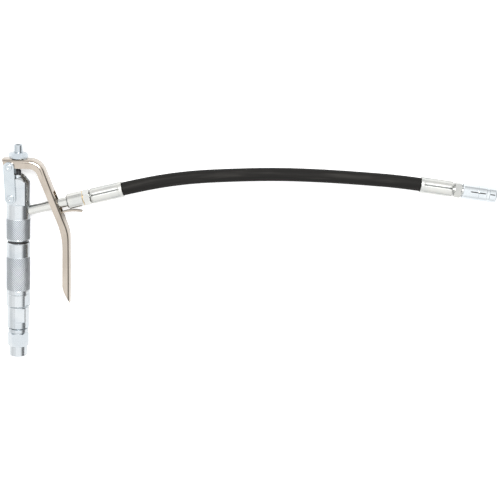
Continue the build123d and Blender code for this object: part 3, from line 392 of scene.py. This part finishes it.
def new_material(name):
    """An empty material with its shader and its output."""
    material = bpy.data.materials.new(name)
    material.use_nodes = True
    tree = material.node_tree
    tree.nodes.clear()
    shader = tree.nodes.new("ShaderNodeBsdfPrincipled")
    output = tree.nodes.new("ShaderNodeOutputMaterial")
    tree.links.new(shader.outputs[0], output.inputs["Surface"])
    return material, tree, shader


def object_vector(tree, angle=0.0):
    """Object coordinates turned about Z so that Y runs along an axis at that angle to +Y."""
    place = tree.nodes.new("ShaderNodeTexCoord")
    turned = tree.nodes.new("ShaderNodeMapping")
    turned.inputs["Rotation"].default_value = (0, 0, -angle)
    tree.links.new(place.outputs["Object"], turned.inputs["Vector"])
    return turned.outputs[0]


def plated_metal(
    name, light, tint, dull, rough, rings=1.0, angle=0.0, marks=0.5, grime_and_shade_grooves=False, sway=0.0
):
    """Turned or pressed metal under plate: clouds in the colour, rings and marks in the gloss.
    The groove flag darkens the grooves that the piece's own groove attribute marks, a painted
    shade with some grime, and sway is how far the sheet waves, in metres."""
    material, tree, shader = new_material(name)
    vector = object_vector(tree, angle)
    plate = {"Light": light, "Tint": tint, "Dull": dull}
    clouds = place_group(tree, "clouds", {"Vector": vector}, plate)
    lathe = place_group(tree, "lathe", {"Vector": vector})
    worn = place_group(tree, "marks", {"Vector": vector}, {"Amount": marks})
    color = clouds.outputs["Color"]
    # Painted shade: the colour is darkened in the grooves towards the groove colour, standing in
    # for shade in the hollows as well as grime.
    if grime_and_shade_grooves:
        depth = tree.nodes.new("ShaderNodeAttribute")
        depth.attribute_name = "groove"
        grime_and_shade = remap(tree, depth.outputs["Fac"], 0.2, 0.8, 0.0, GRIME_AND_SHADE_COVER)
        color = mix_color(tree, grime_and_shade, color, GROOVE_GRIME_AND_SHADE)
    tree.links.new(color, shader.inputs["Base Color"])
    shader.inputs["Metallic"].default_value = 1.0
    gloss = (rough - 0.05 * rings, rough + 0.07 * rings)
    ringed = remap(tree, lathe.outputs["Rings"], 0, 1, *gloss, smooth=False)
    rubbed = times(tree, worn.outputs["Marks"], SCRATCH_ROUGHNESS)
    roughness = math_node(tree, "ADD", ringed, rubbed, clamp=True)
    tree.links.new(roughness, shader.inputs["Roughness"])
    cut = times(tree, lathe.outputs["Height"], rings)
    scratches = times(tree, worn.outputs["Marks"], SCRATCH_DEPTH)
    scratched = math_node(tree, "SUBTRACT", cut, scratches)
    grained = plus(tree, scratched, times(tree, clouds.outputs["Clouds"], GRAIN_HEIGHT))
    bump = bump_node(tree, grained, RING_DEPTH, RING_STRENGTH)
    if sway:
        waves = noise(tree, stretched(tree, vector, SWAY_SCALE), detail=0.0)
        tree.links.new(bump_node(tree, waves, sway).outputs[0], bump.inputs["Normal"])
    tree.links.new(bump.outputs[0], shader.inputs["Normal"])
    return material


def soft_material(name, dark, grey, rough, grain):
    """Moulded rubber or blackened steel: a dark mottled colour with a fine grain."""
    material, tree, shader = new_material(name)
    surface = place_group(tree, "mottle", {"Vector": object_vector(tree)})
    mottle = surface.outputs["Mottle"]
    tree.links.new(mix_color(tree, mottle, dark, grey), shader.inputs["Base Color"])
    gloss = (rough - 0.06, rough + 0.08)
    tree.links.new(remap(tree, mottle, 0, 1, *gloss, smooth=False), shader.inputs["Roughness"])
    bump = bump_node(tree, surface.outputs["Grain"], grain, strength=0.4)
    tree.links.new(bump.outputs[0], shader.inputs["Normal"])
    return material


def hose_cover():
    """Black rubber cured under a cloth wrap: a fine cross weave, wrap edges that run round it,
    dusty streaks."""
    material, tree, shader = new_material("hose_cover")
    place = tree.nodes.new("ShaderNodeUVMap")
    place.uv_map = "along"
    uv = place.outputs[0]
    parts = tree.nodes.new("ShaderNodeSeparateXYZ")
    tree.links.new(uv, parts.inputs[0])
    around, along = parts.outputs[0], parts.outputs[1]
    waves = []
    for slant in (1.0, -1.0):
        across = times(tree, around, WEAVE_TURNS * TURN)
        line = plus(tree, across, times(tree, along, slant * TURN / WEAVE_PITCH))
        waves.append(math_node(tree, "SINE", line))
    weave = times(tree, waves[0], waves[1])
    wrap_turn = plus(tree, times(tree, along, 1 / WRAP_PITCH), around)
    wrap_edge = remap(tree, math_node(tree, "PINGPONG", wrap_turn, 0.5), 0.0, 0.03, 1.0, 0.0)
    streaks = noise(tree, stretched(tree, uv, (9.0, 14.0, 1.0)), detail=3.0, rough=0.6)
    dust = remap(tree, streaks, 0.45, 0.75)
    base = mix_color(tree, dust, (0.014, 0.0135, 0.0128, 1), (0.030, 0.0285, 0.0265, 1))
    tree.links.new(base, shader.inputs["Base Color"])
    tree.links.new(remap(tree, streaks, 0.3, 0.75, 0.52, 0.68), shader.inputs["Roughness"])
    shader.inputs["Specular IOR Level"].default_value = 0.06
    height = plus(tree, times(tree, weave, 0.5), times(tree, wrap_edge, 1.2))
    bump = bump_node(tree, height, WEAVE_DEPTH, strength=0.55)
    tree.links.new(bump.outputs[0], shader.inputs["Normal"])
    return material


# ---- Directions of the three axes ------------------------------------------------------
def run_direction(first, second):
    """The direction from one of the hose's points to another."""
    return (Vector(HOSE_POINTS[second]) - Vector(HOSE_POINTS[first])).normalized()


PIPE_WAY = run_direction(0, 1)
TIP_WAY = run_direction(-2, -1)
BODY_WAY = Vector((0, 1, 0))


def axis_angle(way):
    """How far an axis is turned from +Y about Z."""
    return atan2(way.y, way.x) - pi / 2


ZINC = ((0.62, 0.65, 0.67, 1), (0.55, 0.59, 0.62, 1), (0.47, 0.49, 0.50, 1))
PALE_ZINC = ((0.564, 0.611, 0.639, 1), (0.498, 0.545, 0.583, 1), (0.395, 0.432, 0.461, 1))
WHITE_ZINC = ((0.65, 0.65, 0.62, 1), (0.59, 0.60, 0.585, 1), (0.44, 0.435, 0.42, 1))
NICKEL = ((0.52, 0.465, 0.405, 1), (0.45, 0.40, 0.345, 1), (0.38, 0.335, 0.29, 1))
BRIGHT = ((0.70, 0.735, 0.755, 1), (0.64, 0.68, 0.71, 1), (0.52, 0.555, 0.585, 1))
STEEL = ((0.60, 0.60, 0.60, 1), (0.54, 0.54, 0.55, 1), (0.42, 0.42, 0.43, 1))
BRASS = ((0.80, 0.60, 0.32, 1), (0.74, 0.55, 0.28, 1), (0.55, 0.40, 0.20, 1))
PIPE_ANGLE = axis_angle(PIPE_WAY)
TIP_ANGLE = axis_angle(TIP_WAY)

# The knurled zinc gets grime and painted shade in its grooves; the ferrule's crimp lines get
# painted shade.
PLATED = {
    "knurled_zinc": (ZINC, {"rough": 0.36, "rings": 0.0, "marks": 0.2, "grime_and_shade_grooves": True}),
    "zinc_body": (ZINC, {"rough": 0.20, "rings": 0.35}),
    "zinc_fittings": (WHITE_ZINC, {"rough": 0.13, "rings": 0.3, "angle": PIPE_ANGLE}),
    "zinc_ferrule": (
        WHITE_ZINC,
        {"rough": 0.34, "rings": 0.4, "angle": PIPE_ANGLE, "grime_and_shade_grooves": True},
    ),
    "zinc_hardware": (PALE_ZINC, {"rough": 0.22, "rings": 0.3}),
    "nickel_lever": (NICKEL, {"rough": 0.10, "rings": 0.1, "sway": 2.0 * MM}),
    "chrome_coupler": (BRIGHT, {"rough": 0.13, "rings": 0.3, "angle": TIP_ANGLE}),
    "hardened_steel": (STEEL, {"rough": 0.22, "rings": 0.6}),
    "spring_steel": (STEEL, {"rough": 0.30, "rings": 0.3}),
    "brass_washer": (BRASS, {"rough": 0.30, "rings": 0.8}),
}
BLACK_STEEL = ((0.010, 0.010, 0.012, 1), (0.03, 0.03, 0.032, 1))
BLACK_RUBBER = ((0.008, 0.008, 0.008, 1), (0.022, 0.022, 0.021, 1))

MATERIALS = {name: plated_metal(name, *plate, **look) for name, (plate, look) in PLATED.items()}
MATERIALS["black_steel"] = soft_material("black_steel", *BLACK_STEEL, 0.32, 0.00001)
MATERIALS["black_seal"] = soft_material("black_seal", *BLACK_RUBBER, 0.55, 0.00003)
MATERIALS["hose_rubber"] = hose_cover()


def finish_cad_nodes():
    """Every CAD node gets the material of its slot."""
    for part in frame["record"]["subparts"]:
        mesh = frame["nodes"][part["node"]].data
        mesh.materials.clear()
        mesh.materials.append(MATERIALS[part["material_slot"]])


# ---- Surfaces --------------------------------------------------------------------------
def grid_faces(rows, columns, close_rows=False):
    """Quads of a grid whose columns run round: rows go along, and the last may join the first."""
    row = np.arange(rows if close_rows else rows - 1)[:, None]
    column = np.arange(columns)[None, :]
    after_row = (row + 1) % rows
    after_column = (column + 1) % columns
    corners = [row * columns + column, row * columns + after_column]
    corners += [after_row * columns + after_column, after_row * columns + column]
    return np.stack(corners, -1).reshape(-1, 4)


def add_piece(name, points, faces, body, slot, finish=None, groove=None):
    """A new piece from its points and quads, riding on a body, with its slot's material or its
    own finish. groove is how deep each point lies in a groove, from 0 to 1."""
    mesh = bpy.data.meshes.new(name)
    mesh.from_pydata(points.reshape(-1, 3).tolist(), [], [list(face) for face in faces])
    mesh.materials.append(MATERIALS[finish or slot])
    mesh.polygons.foreach_set("use_smooth", np.ones(len(mesh.polygons), bool))
    if groove is not None:
        depths = mesh.attributes.new("groove", "FLOAT", "POINT")
        depths.data.foreach_set("value", groove.reshape(-1))
    mesh.update()
    piece = bpy.data.objects.new(name, mesh)
    bpy.context.scene.collection.objects.link(piece)
    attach(piece, body)
    return piece


def around_axis(origin, way, radius, station, angle):
    """Points at a radius, a distance along an axis and an angle about it, from +Z towards the
    axis' right."""
    along = np.array(way)
    upward = np.array((0.0, 0.0, 1.0))
    side = np.cross(along, upward)
    ray = upward * np.cos(angle)[..., None] + side * np.sin(angle)[..., None]
    return np.array(origin) + along * station[..., None] + ray * radius[..., None]


def wave(turns):
    """A triangle wave of period 1: 0 at whole numbers, 1 half way between them."""
    return 1 - np.abs(2 * (turns % 1.0) - 1)


def closed_in(inner, radius, station, angle, groove):
    """The grid with one more row at each end, at an inner radius, so that the skin closes inside
    the piece."""
    edge = np.full((1, radius.shape[1]), inner)
    radius = np.vstack([edge, radius, edge])
    station = np.vstack([station[:1], station, station[-1:]])
    angle = np.vstack([angle[:1], angle, angle[-1:]])
    groove = np.vstack([0 * edge, groove, 0 * edge])
    return radius, station, angle, groove


def knurled_skin(name, start, end, body):
    """Radius = root + depth x the lower of two triangle waves that wind opposite ways round the
    band, cut flat at the crests and faded out at both ends; two inner rows close the skin inside
    the band."""
    columns = KNURL_STARTS * KNURL_STEPS
    count = int(round((end - start) / KNURL_PITCH * KNURL_STEPS)) + 1
    stations = np.linspace(start, end, count)
    angles = np.arange(columns) / columns * TURN
    station, angle = np.meshgrid(stations, angles, indexing="ij")
    turns = angle / TURN * KNURL_STARTS
    lines = (station - start) / KNURL_PITCH
    diamond = np.minimum(wave(turns + lines), wave(turns - lines))
    crest = np.minimum(diamond, KNURL_FLAT) / KNURL_FLAT
    fade = np.clip(np.minimum(station - start, end - station) / KNURL_FADE, 0, 1)
    radius = KNURL_ROOT + (KNURL_CREST - KNURL_ROOT) * crest * fade
    groove = (1 - crest) * fade
    radius, station, angle, groove = closed_in(KNURL_CORE, radius, station, angle, groove)
    points = around_axis((0, 0, 0), BODY_WAY, radius, station, angle)
    faces = grid_faces(*radius.shape, close_rows=True)
    return add_piece(name, points, faces, body, "zinc_body", "knurled_zinc", groove)


def pin_head(name, centre, height, spread, side, body):
    """A peened pin head turned about Z: a rounded rim, a crown and a dimple, as a profile of
    (radius, height) steps carried round. side is 1 above the links and -1 below them."""
    radius = np.array([1.0, 1.04, 1.0, 0.9, 0.72, 0.52, 0.4, 0.3, 0.12, 0.004]) * spread
    rise = np.array([-0.50, -0.20, 0.10, 0.26, 0.32, 0.28, 0.17, 0.07, 0.03, 0.03]) * MM
    angle = np.arange(PIN_STEPS) / PIN_STEPS * TURN * side
    x = centre[0] + radius[:, None] * np.cos(angle)
    y = centre[1] + radius[:, None] * np.sin(angle)
    z = side * (height + rise[:, None]) + 0 * x
    points = np.stack([x, y, z], -1)
    faces = grid_faces(*x.shape, close_rows=True)
    return add_piece(name, points, faces, body, "zinc_hardware")


def pressed_ferrule(name, hose_end, way, node):
    """Radius = outer radius - a shallow draw that starts behind a plain lip - a bell-shaped groove
    at each crimp line - a round nose at the fitting, longer between the lines - a drop at the lip.
    way points from the hose's end to the fitting."""
    rows, columns = FERRULE_STEPS
    stations = np.linspace(0, 1, rows) * FERRULE_LENGTH
    angles = np.arange(columns) / columns * TURN
    station, angle = np.meshgrid(stations, angles, indexing="ij")
    first = -copysign(CRIMP_TURN, way.x)
    lobe = wave((angle - first) / TURN * CRIMPS)
    distance = lobe * (TURN / CRIMPS / 2) * FERRULE_RADIUS
    groove = np.exp(-((distance / CRIMP_WIDTH) ** 2))
    deep = np.clip((station - DRAW_START) / DRAW_LENGTH, 0, 1)
    deep = deep * deep * (3 - 2 * deep)
    sunk = DRAW_DEPTH * deep + CRIMP_DEPTH * deep * groove
    left = (FERRULE_LENGTH - station) / NOSE_LENGTH - NOSE_SCALLOP * (1 - lobe) ** 3
    nose = 1 - np.sqrt(1 - (1 - np.clip(left, 0, 1)) ** 2)
    lip = np.clip(1 - station / LIP_LENGTH, 0, 1) ** 2
    radius = FERRULE_RADIUS - sunk - NOSE_DROP * nose - LIP_DROP * lip
    inner = FERRULE_BORE - FERRULE_SINK
    radius, station, angle, pressed = closed_in(inner, radius, station, angle, deep * groove)
    points = around_axis(hose_end, way, radius, station, angle)
    faces = grid_faces(*radius.shape, close_rows=True)
    ferrule = add_piece(name, points, faces, "control_body", "zinc_ferrule", groove=pressed)
    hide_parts(node)
    return ferrule


def slot_shade_fill(name, start, end, quarter, body):
    """A dark fill in one of the coupler's slots, a painted shadow that stands in for the slot's
    shade, shaped like packed grease: a half-round bar in section, its height along the slot
    falling to nothing at both ends by the square root of a parabola."""
    rows, columns = SHADE_FILL_STEPS
    stations = np.linspace(start, end, rows)
    angles = np.arange(columns) / columns * TURN
    station, angle = np.meshgrid(stations, angles, indexing="ij")
    share = (station - start) / (end - start)
    swell = np.sqrt(np.clip(4 * share * (1 - share) / SHADE_FILL_END_SHARE, SHADE_FILL_THINNEST, 1))
    across = SLOT_WIDTH / 2 * SHADE_FILL_WIDTH_SHARE * np.cos(angle) * swell
    height = SLOT_FLOOR + SLOT_FILL * (0.5 + 0.5 * np.sin(angle)) * swell
    turn = SLOT_TURN + quarter * TURN / 4
    along = np.array(TIP_WAY)
    upward = np.array((0.0, 0.0, 1.0))
    side = np.cross(upward, along)
    out = upward * cos(turn) + side * sin(turn)
    sideways = np.cross(along, out)
    points = np.array(HOSE_POINTS[-1]) + along * station[..., None]
    points = points + out * height[..., None] + sideways * across[..., None]
    ring = np.arange(columns)
    caps = [ring[::-1].tolist(), (ring + (rows - 1) * columns).tolist()]
    return add_piece(name, points, grid_faces(rows, columns).tolist() + caps, body, "black_seal")


def hose_route():
    """The hose's smooth centre line, read from its spline."""
    data = bpy.data.curves.new("hose_route", "CURVE")
    data.dimensions = "3D"
    data.resolution_u = HOSE_SPLINE_STEPS
    spline = data.splines.new("NURBS")
    spline.points.add(len(HOSE_POINTS) - 1)
    for point, place in zip(spline.points, HOSE_POINTS):
        point.co = (*place, 1.0)
    spline.order_u = 3
    spline.use_endpoint_u = True
    holder = bpy.data.objects.new("hose_route", data)
    line = bpy.data.meshes.new_from_object(holder)
    places = np.zeros(len(line.vertices) * 3)
    line.vertices.foreach_get("co", places)
    bpy.data.meshes.remove(line)
    bpy.data.objects.remove(holder)
    bpy.data.curves.remove(data)
    return places.reshape(-1, 3)


def add_hose():
    """Points = route + radius x a ray that turns once round it, square to the route; a flat cap
    closes each end."""
    route = hose_route()
    way = np.gradient(route, axis=0)
    way /= np.linalg.norm(way, axis=1)[:, None]
    upward = np.array((0.0, 0.0, 1.0))
    side = np.cross(way, upward)
    side /= np.linalg.norm(side, axis=1)[:, None]
    over = np.cross(side, way)
    turn = np.arange(HOSE_STEPS_AROUND)[None, :, None] / HOSE_STEPS_AROUND * TURN
    ray = over[:, None, :] * np.cos(turn) + side[:, None, :] * np.sin(turn)
    rings = route[:, None, :] + HOSE_RADIUS * ray
    first = route[:1, None, :] + HOSE_CAP_SHARE * HOSE_RADIUS * ray[:1]
    last = route[-1:, None, :] + HOSE_CAP_SHARE * HOSE_RADIUS * ray[-1:]
    points = np.concatenate([first, rings, last])
    rows = len(points)
    faces = grid_faces(rows, HOSE_STEPS_AROUND)
    ring = np.arange(HOSE_STEPS_AROUND)
    caps = [ring[::-1].tolist(), (ring + (rows - 1) * HOSE_STEPS_AROUND).tolist()]
    mesh = bpy.data.meshes.new("hose_tube")
    mesh.from_pydata(points.reshape(-1, 3).tolist(), [], faces.tolist() + caps)
    mesh.materials.append(MATERIALS["hose_rubber"])
    mesh.polygons.foreach_set("use_smooth", np.ones(len(mesh.polygons), bool))
    steps = np.linalg.norm(np.diff(route, axis=0), axis=1)
    along = np.concatenate([[0, 0], np.cumsum(steps), [steps.sum()]])
    layer = mesh.uv_layers.new(name="along")
    corner = np.zeros(len(mesh.loops), int)
    mesh.loops.foreach_get("vertex_index", corner)
    around = (corner % HOSE_STEPS_AROUND) / HOSE_STEPS_AROUND
    quad_corners = 4 * len(faces)
    # A face over the seam runs on past 1 instead of back to 0.
    wraps = around[:quad_corners].reshape(-1, 4)
    wraps[(wraps.max(1) > 0.9)[:, None] & (wraps < 0.1)] += 1.0
    around[:quad_corners] = wraps.reshape(-1)
    uv = np.stack([around, along[corner // HOSE_STEPS_AROUND]], 1)
    layer.data.foreach_set("uv", uv.reshape(-1))
    mesh.update()
    tube = bpy.data.objects.new("hose_tube", mesh)
    bpy.context.scene.collection.objects.link(tube)
    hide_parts("hose")
    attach(tube, "control_body")
    return tube, route


# ---- Stage -----------------------------------------------------------------------------
def add_floor():
    """A pale floor just under the lowest piece, lit a little more for the lens than for the metal
    over it."""
    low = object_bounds()[0][2] - FLOOR_GAP
    far = FLOOR_SIZE
    mesh = bpy.data.meshes.new("floor")
    corners = [(-far, -far, low), (far, -far, low), (far, far, low), (-far, far, low)]
    mesh.from_pydata(corners, [], [(0, 1, 2, 3)])
    material, tree, shader = new_material("floor_paint")
    shader.inputs["Base Color"].default_value = FLOOR_TONE
    shader.inputs["Roughness"].default_value = 0.9
    shader.inputs["Specular IOR Level"].default_value = 0.1
    shader.inputs["Emission Color"].default_value = (1, 1, 1, 1)
    ray = tree.nodes.new("ShaderNodeLightPath")
    glow = math_node(tree, "MULTIPLY", ray.outputs["Is Camera Ray"], FLOOR_GLOW)
    tree.links.new(glow, shader.inputs["Emission Strength"])
    mesh.materials.append(material)
    floor = bpy.data.objects.new("floor", mesh)
    bpy.context.scene.collection.objects.link(floor)


def add_studio():
    """A white tent of light, shaded towards the right, the far side and the lens and along one
    seam, with a brighter panel overhead."""
    world = bpy.data.worlds.new("tent")
    world.use_nodes = True
    bpy.context.scene.world = world
    tree = world.node_tree
    tree.nodes.clear()
    place = tree.nodes.new("ShaderNodeTexCoord")

    def facing(direction):
        node = tree.nodes.new("ShaderNodeVectorMath")
        node.operation = "DOT_PRODUCT"
        node.inputs[1].default_value = direction
        tree.links.new(place.outputs["Generated"], node.inputs[0])
        return node.outputs["Value"]

    def shade(direction, start, full, depth):
        return times(tree, remap(tree, facing(direction), start, full), depth)

    off_seam = math_node(tree, "ABSOLUTE", facing(SEAM_AXIS))
    dark = remap(tree, off_seam, *SEAM_EDGES, SEAM_DEPTH, 0.0)
    for wall in (RIGHT_WALL, FAR_WALL, LENS_OPENING):
        dark = math_node(tree, "MAXIMUM", dark, shade(*wall))
    color = mix_color(tree, dark, (1.0, 1.0, 1.0, 1), (0.0, 0.0, 0.0, 1))
    light = tree.nodes.new("ShaderNodeBackground")
    panel = remap(tree, facing(PANEL_WAY), *PANEL_EDGES, 1.0, PANEL_LIGHT)
    tree.links.new(panel, light.inputs["Strength"])
    tree.links.new(color, light.inputs["Color"])
    output = tree.nodes.new("ShaderNodeOutputWorld")
    tree.links.new(light.outputs[0], output.inputs["Surface"])


def add_softbox(name, place, aim, size, power):
    """A soft square lamp that points at aim."""
    data = bpy.data.lights.new(name, "AREA")
    data.size = size
    data.energy = power
    lamp = bpy.data.objects.new(name, data)
    lamp.location = place
    lamp.rotation_euler = (Vector(aim) - Vector(place)).to_track_quat("-Z", "Y").to_euler()
    bpy.context.scene.collection.objects.link(lamp)


# ---- Build -----------------------------------------------------------------------------
add_camera()
hose, route = add_hose()
finish_cad_nodes()

knurled_skin("handle_knurl", *HANDLE_KNURL, "control_body")
knurled_skin("body_knurl", *BODY_KNURL, "control_body")
pressed_ferrule("gun_ferrule", HOSE_POINTS[0], -PIPE_WAY, "hose_ferrule_gun")
tip_ferrule = pressed_ferrule("tip_ferrule", HOSE_POINTS[-1], TIP_WAY, "hose_ferrule_tip")

lever_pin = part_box("lever_pin")
body_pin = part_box("body_pin")
PINS = (("lever_pin", lever_pin, "link"), ("body_pin", body_pin, "control_body"))
for label, (low, high), owner in PINS:
    centre = ((low.x + high.x) / 2, (low.y + high.y) / 2)
    spread = (high.x - low.x) / 2 + PIN_SPREAD
    for side, place in ((1, "front"), (-1, "back")):
        pin_head(f"{label}_head_{place}", centre, high.z, spread, side, owner)

# Dark fills laid in the coupler's slots as painted shade, shaped like packed grease.
slot_shade_fills = [
    slot_shade_fill(f"slot_shade_fill_{part}_{quarter}", *span, quarter, "control_body")
    for quarter in range(4)
    for part, span in (("rear", SLOT_REAR), ("front", SLOT_FRONT))
]

COUPLER_PARTS = ("body", "sleeve", "piston", "seal", "spring", "jaw_1", "jaw_2", "jaw_3", "jaw_4")
cord_pieces = [*slot_shade_fills, tip_ferrule, frame["nodes"]["hose_fitting_tip"]]
cord_pieces += [frame["nodes"][f"coupler_{part}"] for part in COUPLER_PARTS]

add_studio()
add_softbox("back_lamp", LAMP_PLACE, LAMP_AIM, LAMP_SIZE, LAMP_POWER)
add_floor()
bpy.context.scene.view_settings.view_transform = "Standard"
